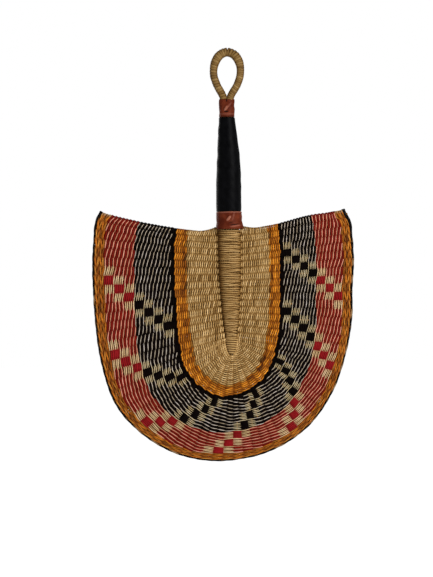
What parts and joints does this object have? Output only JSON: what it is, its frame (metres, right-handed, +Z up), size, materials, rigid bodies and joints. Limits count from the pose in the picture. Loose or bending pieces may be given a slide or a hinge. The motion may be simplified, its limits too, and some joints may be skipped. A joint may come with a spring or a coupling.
{
  "type": "woven straw hand fan",
  "caption": "Woven straw hand fan with a U-shaped checked blade, a tapered spine, a leather grip with two collars and a wound hanging loop.",
  "frame": {"origin": "inside of the hanging loop's crown, where the fan bears on a peg or a nail", "axes": "+Z up the handle to the loop, -Y out of the front face, +X to the right seen from the front; the blade lies in the XZ plane"},
  "size_m": [0.3141, 0.0329, 0.4954],
  "materials": {
    "stake_straw": "dry straw, satin",
    "natural_straw": "twined natural straw",
    "orange_straw": "twined orange dyed straw",
    "black_and_natural_straw": "black and natural straw twined in rows and checks",
    "red_and_natural_straw": "red and natural straw twined in rows and checks",
    "black_straw": "black dyed straw, twisted",
    "loop_straw": "flat pale straw, wound",
    "red_leather": "red-brown goatskin, matt",
    "black_leather": "black goatskin, soft sheen"
  },
  "bodies": {
    "root": {"straw_core": "stake_straw", "loop_core": "stake_straw", "loop_winding": "loop_straw", "upper_collar": "red_leather", "upper_collar_lace": "red_leather", "grip_sleeve": "black_leather", "lower_collar": "red_leather", "lower_collar_lace": "red_leather", "natural_field": "natural_straw", "inner_orange_band": "orange_straw", "black_check_band": "black_and_natural_straw", "red_check_band": "red_and_natural_straw", "outer_orange_band": "orange_straw", "rim_binding": "black_straw", "cross_stake_01": "stake_straw", "cross_stake_02": "stake_straw", "cross_stake_03": "stake_straw", "cross_stake_04": "stake_straw", "cross_stake_05": "stake_straw", "cross_stake_06": "stake_straw", "cross_stake_07": "stake_straw", "cross_stake_08": "stake_straw", "cross_stake_09": "stake_straw", "cross_stake_10": "stake_straw", "cross_stake_11": "stake_straw", "cross_stake_12": "stake_straw", "cross_stake_13": "stake_straw", "cross_stake_14": "stake_straw", "cross_stake_15": "stake_straw", "cross_stake_16": "stake_straw", "cross_stake_17": "stake_straw", "side_stake_01": "stake_straw", "side_stake_02": "stake_straw", "side_stake_03": "stake_straw", "side_stake_04": "stake_straw", "foot_stake_01": "stake_straw", "foot_stake_02": "stake_straw", "foot_stake_03": "stake_straw", "foot_stake_04": "stake_straw", "foot_stake_05": "stake_straw", "foot_stake_06": "stake_straw", "foot_stake_07": "stake_straw", "foot_stake_08": "stake_straw", "foot_stake_09": "stake_straw", "foot_stake_10": "stake_straw", "foot_stake_11": "stake_straw", "foot_stake_12": "stake_straw", "foot_stake_13": "stake_straw", "foot_stake_14": "stake_straw"}
  },
  "joints": []
}
